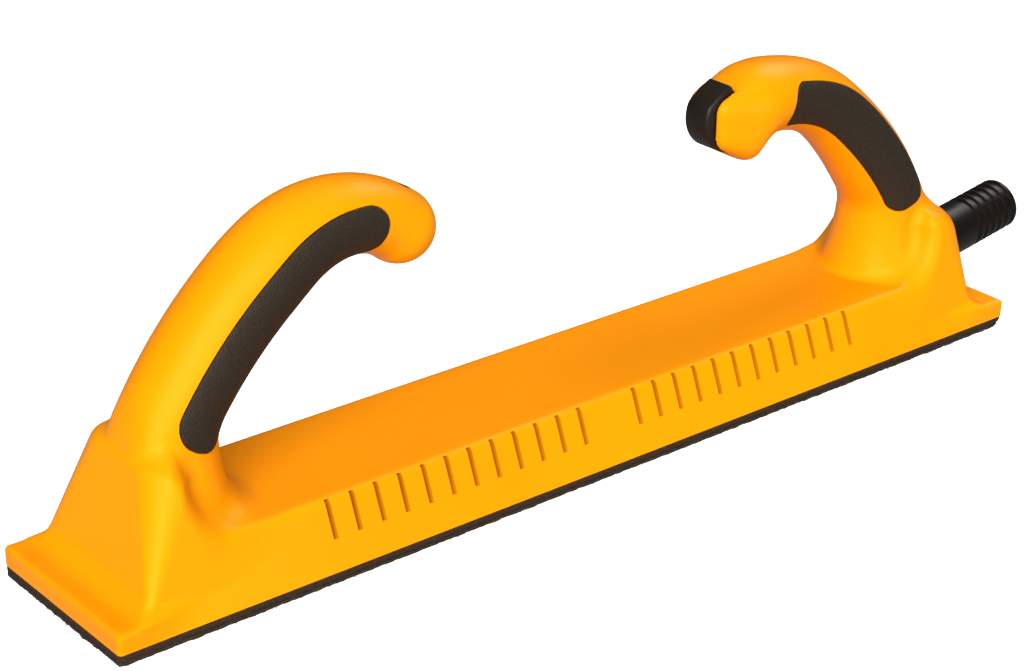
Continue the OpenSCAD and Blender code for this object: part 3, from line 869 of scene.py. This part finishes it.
FRONT_GRIP = Grip(
    FRONT, span=(6.0, 108.0), half=9.8, rounds=(8.8, 8.2), slants=(0.0, 0.0),
    shift=-3.2, taper=0.0, drift=0.0,
)
REAR_GRIP = Grip(
    REAR, span=(6.2, 95.6), half=10.4, rounds=(7.5, 3.4), slants=(-0.2, -0.22),
    shift=0.8, taper=1.8, drift=-1.6,
)

# the nets' mesh, on the housing and on the handles
STEP = 0.9
FINE = 0.6

# the port leans up out of the rear end
TILT = math.radians(9.0)
PORT = Vector((187.0, 0.0, 20.6))
PORT_AXIS = Vector((math.cos(TILT), 0.0, math.sin(TILT)))
PORT_RADIUS = 12.82

# the plug near the front handle's tip
PLUG = Vector((-74.66, 0.0, 98.69))
PLUG_LEAN = math.radians(31.0)
PLUG_AXIS = Vector((math.sin(PLUG_LEAN), 0.0, math.cos(PLUG_LEAN)))
PLUG_RADIUS = 3.7


def rod(name, base, axis, radius, start, stop):
    """A plain round bar, to cut with."""
    profile = [(start, 0.0), (start, radius), (stop, radius), (stop, 0.0)]
    steps, same_spot = 64, 1e-5
    bm = lathe(profile, base, axis, steps)
    bmesh.ops.remove_doubles(bm, verts=bm.verts, dist=same_spot)
    return from_bmesh(name, bm)


def groove_cutter(side):
    """One finger groove: a narrow slit with chamfered edges, that leans with the body's side."""
    foot_h, below_top, depth, clear = 9.6, 0.25, 3.4, 4.0
    right = [(0.8, -depth), (0.85, -0.2), (1.0, 0.1), (1.0, clear)]
    slit = right + [(-across, out) for across, out in reversed(right)]
    lean = math.atan(SLOPE)
    cos, sin = math.cos(lean), math.sin(lean)
    rings = []
    for up in (0.0, (BODY_TOP - below_top - foot_h) / cos):
        y = HALF_WIDTH - SLOPE * foot_h - up * sin
        h = foot_h + up * cos
        rings.append([(across, side * (y + out * cos), h + out * sin) for across, out in slit])
    return tube_of("slit", rings)


def build_housing():
    """The yellow body with its flanges and pedestals, hollow from below."""
    past, net_top = 3.0, 58.0
    low = (-HALF_LENGTH - past, -HALF_WIDTH - past, -past)
    high = (HALF_LENGTH + past, HALF_WIDTH + past, net_top)
    obj = yellow_piece("housing_skin", low, high, STEP)
    carve(obj, box("below", (-260.0, -60.0, -20.0), (260.0, 60.0, 0.0)))
    for handle in (FRONT, REAR):
        carve(obj, sleeve(handle, "socket", length=40.0))
    carve(obj, *FRONT_GRIP.pockets(), *REAR_GRIP.pockets())
    # recess for the plate and the gasket, and the dust chamber over it
    wall, recess_depth = 4.0, 4.0
    long, wide = HALF_LENGTH - wall, HALF_WIDTH - wall
    carve(obj, box("recess", (-long, -wide, -1.0), (long, wide, recess_depth)))
    chamber_long, floor_half, roof_half, roof = 183.0, 24.5, 20.0, 18.6
    chamber = [(-floor_half, 3.0), (floor_half, 3.0), (roof_half, roof), (-roof_half, roof)]
    ends = (-chamber_long, chamber_long)
    carve(obj, tube_of("chamber", [[(x, y, h) for y, h in chamber] for x in ends]))
    carve(obj, rod("port", PORT, PORT_AXIS, PORT_RADIUS, -26.0, 14.0))
    # finger grooves, on both sides and both ways from the middle
    count, first, pitch = 12, 12.5, 9.55
    for side in (-1.0, 1.0):
        cutter = groove_cutter(side)
        for way in (-1.0, 1.0):
            carve(obj, row("slits", cutter, count, (way * first, 0.0, 0.0), (way * pitch, 0.0, 0.0)))
        bpy.data.objects.remove(cutter)
    # the housing takes the yellow with painted shade in its grooves
    dress(soften(obj), "yellow_plastic", "block", "housing", look="grooved_plastic")


def build_handles():
    """Both handles, with pockets for their grips, and the grips."""
    far, half, bottom, top, margin = 186.0, 21.0, 32.0, 122.0, 5.0
    ends = ((FRONT, "front_handle", FRONT_GRIP, 52.0), (REAR, "rear_handle", REAR_GRIP, 56.0))
    for handle, name, grip, reach in ends:
        low = [-far, -half, bottom]
        high = [-reach, half, top]
        if handle is REAR:
            low[0], high[0] = reach, far
        obj = yellow_piece(name + "_skin", low, high, FINE)
        # the foot ends on the seam; the pedestal round it belongs to the housing
        foot = sleeve(handle, "foot", length=30.0)
        above = box("rest", (low[0] - margin, -25.0, SEAM_TOP), (high[0] + margin, 25.0, 130.0))
        carve(foot, above, operation="UNION")
        carve(obj, foot, operation="INTERSECT")
        carve(obj, *grip.pockets())
        if handle is FRONT:
            carve(obj, rod("plug_hole", PLUG, PLUG_AXIS, PLUG_RADIUS + 0.02, 5.4, 16.0))
        for side, tag in ((-1.0, "_near"), (1.0, "_far")):
            node = name.replace("handle", "grip") + tag
            rubber = grip.solid(node + "_pad", side, spare=0.0, proud=0.3, depth=2.2)
            dress(soften(rubber, 50.0), "grip_rubber", "block", node)
        dress(soften(obj), "yellow_plastic", "block", name)


def build_drum():
    """The regulator: a drum with a lip, a thumb flat and an open sector for the air."""
    lip, flat_end, closed_end = 98.0, 155.0, 374.0
    drum_radius, hub_radius, bore_radius, half_width, rounding = 13.15, 5.6, 2.05, 5.8, 1.3
    corners = [(11.9, lip - 1.0), (12.2, lip + 2.0), (11.75, 127.0)]
    corners += [(12.9, flat_end - 3.0), (13.1, flat_end)]
    corners += [(drum_radius, a) for a in np.linspace(flat_end + 6.0, closed_end, 56)]
    corners += [(hub_radius, a) for a in np.linspace(closed_end - 360.0, lip - 1.0, 14)]
    radius, angle = np.array(corners).T
    angle = np.radians(angle)
    rings = []
    for lean in np.radians(np.concatenate([np.linspace(-90.0, 0.0, 7), np.linspace(0.0, 90.0, 7)])):
        y = math.copysign(half_width - rounding, lean) + rounding * math.sin(lean)
        worn = radius - rounding * (1.0 - math.cos(lean))
        r = np.where(radius > hub_radius, worn, radius)
        across = np.full(len(r), y)
        rings.append(np.column_stack([DRUM[0] + r * np.cos(angle), across, DRUM[1] + r * np.sin(angle)]))
    obj = tube_of("regulator_drum_skin", rings)
    carve(obj, rod("bore", (DRUM[0], 0.0, DRUM[1]), (0.0, 1.0, 0.0), bore_radius, -9.0, 9.0))
    dress(soften(obj), "black_plastic", "regulator", "regulator_drum")


def build_spigot():
    """The hose spigot: journal, shoulder, smooth collar and a ribbed end."""
    tail, length, bore, radius, bevel, lip = -23.0, 49.5, 7.0, 10.2, 0.5, 2.6
    profile = [(tail, bore), (tail, radius - bevel), (tail + bevel, radius)]
    # grooves for the clip and the seal
    for start, wide, deep in ((-21.6, 1.2, 1.0), (-8.0, 1.8, 1.2)):
        profile += [(start, radius), (start, radius - deep)]
        profile += [(start + wide, radius - deep), (start + wide, radius)]
    # a shoulder with bevelled edges, outside the bush
    near, far, chamfer, shoulder = 3.3, 5.7, 0.3, radius + 1.0
    profile += [(near, radius), (near, shoulder - chamfer), (near + chamfer, shoulder)]
    profile += [(far - chamfer, shoulder), (far, shoulder - chamfer), (far, radius)]
    for i in range(9):
        a = math.radians(90.0 - 10.0 * i)
        profile.append((length - lip + lip * math.cos(a), radius - lip + lip * math.sin(a)))
    profile += [(length, bore + bevel), (length - bevel, bore)]
    steps = 96
    obj = from_bmesh("hose_spigot_skin", lathe(profile, PORT, PORT_AXIS, steps))
    # ring channels with rounded edges leave the ribs
    side = [(0.7, radius - 0.85), (1.25, radius - 0.05), (1.7, radius + 1.5)]
    channel = [(-along, out) for along, out in reversed(side)] + side
    ring = from_bmesh("ring", lathe(channel, PORT, PORT_AXIS, steps))
    count, first, pitch = 6, 26.0, 3.9
    carve(obj, row("channels", ring, count, first * PORT_AXIS, pitch * PORT_AXIS))
    bpy.data.objects.remove(ring)
    dress(soften(obj), "black_plastic", "swivel", "hose_spigot", look="hose_plastic")


def sole_path(spacing):
    """Points and outward directions round the sole."""
    radius = 2.0
    spots, ways = [], []
    for corner in range(4):
        mid_x = (HALF_LENGTH - radius) * (1.0, -1.0, -1.0, 1.0)[corner]
        mid_y = (HALF_WIDTH - radius) * (1.0, 1.0, -1.0, -1.0)[corner]
        for a in np.radians(90.0 * corner + np.linspace(0.0, 90.0, 7)):
            spots.append((mid_x + radius * math.cos(a), mid_y + radius * math.sin(a)))
            ways.append((math.cos(a), math.sin(a)))
        run = 2.0 * ((HALF_LENGTH, HALF_WIDTH)[corner % 2] - radius)
        along = (-ways[-1][1], ways[-1][0])
        start = spots[-1]
        for t in np.arange(spacing, run - 0.5 * spacing, spacing):
            spots.append((start[0] + t * along[0], start[1] + t * along[1]))
            ways.append(ways[-1])
    return np.array(spots), np.array(ways)


def dust_hole_cuts(low, high):
    """Cutters for the three rows of dust holes."""
    radius, margin, row_y, count = 2.75, 14.0, 17.5, 17
    pitch = 2.0 * (HALF_LENGTH - margin) / (count - 1)
    pin = rod("pin", (0.0, 0.0, 0.0), (0.0, 0.0, 1.0), radius, low, high)
    rows = []
    # the middle row has one hole less and sits between the others
    for y, holes, start in ((-row_y, count, 0.0), (0.0, count - 1, 0.5), (row_y, count, 0.0)):
        first = (-HALF_LENGTH + margin + start * pitch, y, 0.0)
        rows.append(row("holes", pin, holes, first, (pitch, 0.0, 0.0)))
    bpy.data.objects.remove(pin)
    return rows


def layer(name, levels, rough, seed):
    """A flat layer of the sole, from (height, inset) levels, with an uneven edge."""
    chance = np.random.default_rng(seed)
    spots, ways = sole_path(spacing=1.1)
    count = len(spots)
    # the sole's rear end is rounded upward
    end_span, end_lift, lift_from, lift_run = (193.0, 200.0), 1.6, 1.4, 2.6
    at_end = ease(spots[:, 0], *end_span)
    rings = []
    for height, inset in levels:
        wave = chance.normal(0.0, rough, count)
        wave = 0.6 * wave + 0.2 * np.roll(wave, 1) + 0.2 * np.roll(wave, -1)
        lift = end_lift * at_end * max(-height - lift_from, 0.0) / lift_run
        shift = -inset + wave - lift
        ring = spots + ways * shift[:, None]
        rings.append(np.column_stack([ring, np.full(count, height)]))
    obj = tube_of(name, rings)
    past = 2.0
    carve(obj, *dust_hole_cuts(levels[-1][0] - past, levels[0][0] + past))
    return obj


def fringe_tree():
    """Short fibres that stand out of the upright faces of a piece and stop at the floor."""
    kinds = {"Source": "Object", "Fibre": "Object", "Density": "Float", "Seed": "Int", "Floor": "Float"}
    tree = Grow("fringe", {**kinds, "Material": "Material"})
    steepest, tilt, shortest, longest = 0.75, 0.7, 0.35, 1.25
    source = tree.add("GeometryNodeObjectInfo", inputs={"Object": tree.given("Source")})
    fibre = tree.add("GeometryNodeObjectInfo", inputs={"Object": tree.given("Fibre")})
    normal = tree.add("ShaderNodeSeparateXYZ", inputs={0: tree.add("GeometryNodeInputNormal")})
    steep = tree.add("ShaderNodeMath", {"operation": "ABSOLUTE"}, {0: normal.outputs["Z"]})
    upright = tree.add("ShaderNodeMath", {"operation": "LESS_THAN"}, {0: steep, 1: steepest})
    points = tree.add(
        "GeometryNodeDistributePointsOnFaces",
        inputs={
            "Mesh": source.outputs["Geometry"],
            "Selection": upright,
            "Density": tree.given("Density"),
            "Seed": tree.given("Seed"),
        },
    )
    spin = tree.add(
        "FunctionNodeRandomValue",
        {"data_type": "FLOAT_VECTOR"},
        {0: (-tilt, -tilt, -3.14), 1: (tilt, tilt, 3.14), "Seed": tree.given("Seed")},
    )
    turned = tree.add(
        "FunctionNodeRotateRotation",
        {"rotation_space": "LOCAL"},
        {"Rotation": points.outputs["Rotation"], "Rotate By": spin},
    )
    size = tree.add("FunctionNodeRandomValue", {"data_type": "FLOAT"}, {2: shortest, 3: longest})
    copies = tree.add(
        "GeometryNodeInstanceOnPoints",
        inputs={
            "Points": points,
            "Instance": fibre.outputs["Geometry"],
            "Rotation": turned,
            "Scale": size.outputs[1],
        },
    )
    whole = tree.add("GeometryNodeRealizeInstances", inputs={"Geometry": copies})
    spot = tree.add("ShaderNodeSeparateXYZ", inputs={0: tree.add("GeometryNodeInputPosition")})
    above = tree.add(
        "ShaderNodeMath", {"operation": "MAXIMUM"}, {0: spot.outputs["Z"], 1: tree.given("Floor")}
    )
    held = tree.add(
        "ShaderNodeCombineXYZ", inputs={0: spot.outputs["X"], 1: spot.outputs["Y"], 2: above}
    )
    kept = tree.add("GeometryNodeSetPosition", inputs={"Geometry": whole, "Position": held})
    return tree.close(kept)


def fibre_seed():
    """One bent tapering fibre, standing up at the origin."""
    levels, sides = 5, 3
    root_radius, thinning, bend, length, sunk = 0.09, 0.7, 0.35, 1.7, 0.2
    turn = math.tau * np.arange(sides) / sides
    rings = []
    for t in np.arange(levels) / (levels - 1):
        thick = root_radius * (1.0 - thinning * t)
        height = np.full(sides, length * t - sunk - RIM)
        rings.append(np.column_stack([bend * t * t + thick * np.cos(turn), thick * np.sin(turn), height]))
    return tube_of("fibre", rings)


def build_sole():
    """The foam pad, the tufted face under it and the fibres round its edge."""
    foam_levels = ((0.0, 0.7), (-0.25, 0.2), (-0.9, 0.0), (-2.0, 0.05), (-2.6, 0.2), (-2.8, 0.6))
    foam = layer("foam_pad_skin", foam_levels, rough=0.05, seed=11)
    dress(soften(foam, 50.0), "foam_rubber", "block", "foam_pad")
    hook_levels = ((-2.8, 0.5), (-3.0, 0.1), (-3.4, -0.1), (-3.8, 0.1), (-4.0, 0.6))
    hook = layer("hook_face_skin", hook_levels, rough=0.22, seed=12)
    dress(soften(hook, 50.0), "hook_fabric", "block", "hook_face")
    fibre = fibre_seed()
    values = {
        "Source": hook,
        "Fibre": fibre,
        "Density": 1.6e6,
        "Seed": 5,
        "Floor": 0.00004,
        "Material": PAINTS["hook_fabric"],
    }
    fringe = fringe_tree().run("hook_fringe", values)
    bpy.data.objects.remove(fibre)
    dress(soften(fringe), "hook_fabric", "block")


build_housing()
build_handles()
build_drum()
build_spigot()
build_sole()

# CAD nodes that keep their own shape and only get their paint
KEPT = {
    "black_plastic": ("front_tip_plug", "port_bush"),
    "plate_plastic": ("base_plate", "regulator_washers"),
    "seal_rubber": ("base_gasket", "front_handle_seal", "rear_handle_seal", "spigot_seal"),
    "steel": (
        "base_screws", "front_handle_screws", "rear_handle_screws", "spigot_clip", "regulator_pin",
    ),
    "brass": ("front_handle_inserts", "rear_handle_inserts"),
}
for slot, names in KEPT.items():
    for name in names:
        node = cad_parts[name]
        node.data.materials.clear()
        node.data.materials.append(PAINTS[slot])


def add_camera():
    """The photo's viewpoint, solved from the sole's edges and the grooves."""
    yaw, pitch, roll = (math.radians(a) for a in (39.678, 24.95, 0.738))
    spot = (-0.5044, -0.5830, 0.3980)
    turn = Matrix.Rotation(-yaw, 4, "Z") @ Matrix.Rotation(0.5 * math.pi - pitch, 4, "X")
    turn = turn @ Matrix.Rotation(roll, 4, "Z")
    data = bpy.data.cameras.new("camera")
    data.lens = 85.6
    data.sensor_width = 36.0
    data.clip_start = 0.01
    obj = show("camera", data)
    obj.matrix_world = Matrix.Translation(spot) @ turn
    bpy.context.scene.camera = obj


def add_lamp(name, spot, aim, size, watts):
    """A soft round lamp."""
    data = bpy.data.lights.new(name, "AREA")
    data.shape = "DISK"
    data.size = size
    data.energy = watts
    obj = show(name, data)
    obj.location = spot
    obj.rotation_euler = (Vector(aim) - Vector(spot)).to_track_quat("-Z", "Y").to_euler()


def add_floor():
    """A plain pale floor, just under the sole."""
    paint = Paint("floor_paper", specular=0.1)
    colour = paint.mix(paint.noise(scale=3.0), (0.86, 0.86, 0.86, 1.0), (0.9, 0.9, 0.9, 1.0))
    paint.feed(paint.shader.inputs["Emission Color"], colour)
    paint.shader.inputs["Emission Strength"].default_value = 1.0
    floor_paint = paint.close(colour, 0.9 + 0.05 * paint.noise(scale=20.0))
    half, gap = 8000.0, 0.02
    bm = bmesh.new()
    bmesh.ops.create_grid(bm, x_segments=2, y_segments=2, size=half)
    bm.transform(Matrix.Translation((0.0, 0.0, -RIM - gap)))
    floor = from_bmesh("floor", bm)
    floor.data.materials.append(floor_paint)
    # the floor stays white without throwing its light back up
    floor.visible_diffuse = False
    floor.visible_glossy = False


def add_light():
    """A room that is dim round the horizon and lit from overhead and below, and three lamps."""
    world = bpy.data.worlds.new("studio")
    world.use_nodes = True
    sky = Nodes(world.node_tree)
    way = sky.add("ShaderNodeTexCoord").outputs["Generated"]
    rise = sky.add("ShaderNodeSeparateXYZ", inputs={0: way}).outputs["Z"]
    glow = sky.add("ShaderNodeValToRGB", inputs={0: sky.span(rise, -1.0, 1.0)})
    stops = ((0.0, 0.4), (0.42, 0.3), (0.5, 0.06), (0.7, 0.07), (1.0, 0.22))
    ramp = glow.color_ramp.elements
    while len(ramp) < len(stops):
        ramp.new(0.5)
    for element, (place, grey) in zip(ramp, stops):
        element.position = place
        element.color = (grey, grey, grey, 1.0)
    sky.feed(world.node_tree.nodes["Background"].inputs["Color"], glow)
    bpy.context.scene.world = world
    bpy.context.scene.view_settings.view_transform = "Standard"
    add_lamp("key", spot=(-2.45, -2.45, 2.12), aim=(0.0, 0.0, 0.05), size=3.6, watts=285.0)
    add_lamp("over", spot=(0.75, 0.1, 0.8), aim=(0.16, 0.0, 0.05), size=0.5, watts=3.5)
    add_lamp("side", spot=(0.25, -1.25, 0.16), aim=(0.06, 0.0, 0.1), size=0.22, watts=2.6)


add_camera()
add_floor()
add_light()
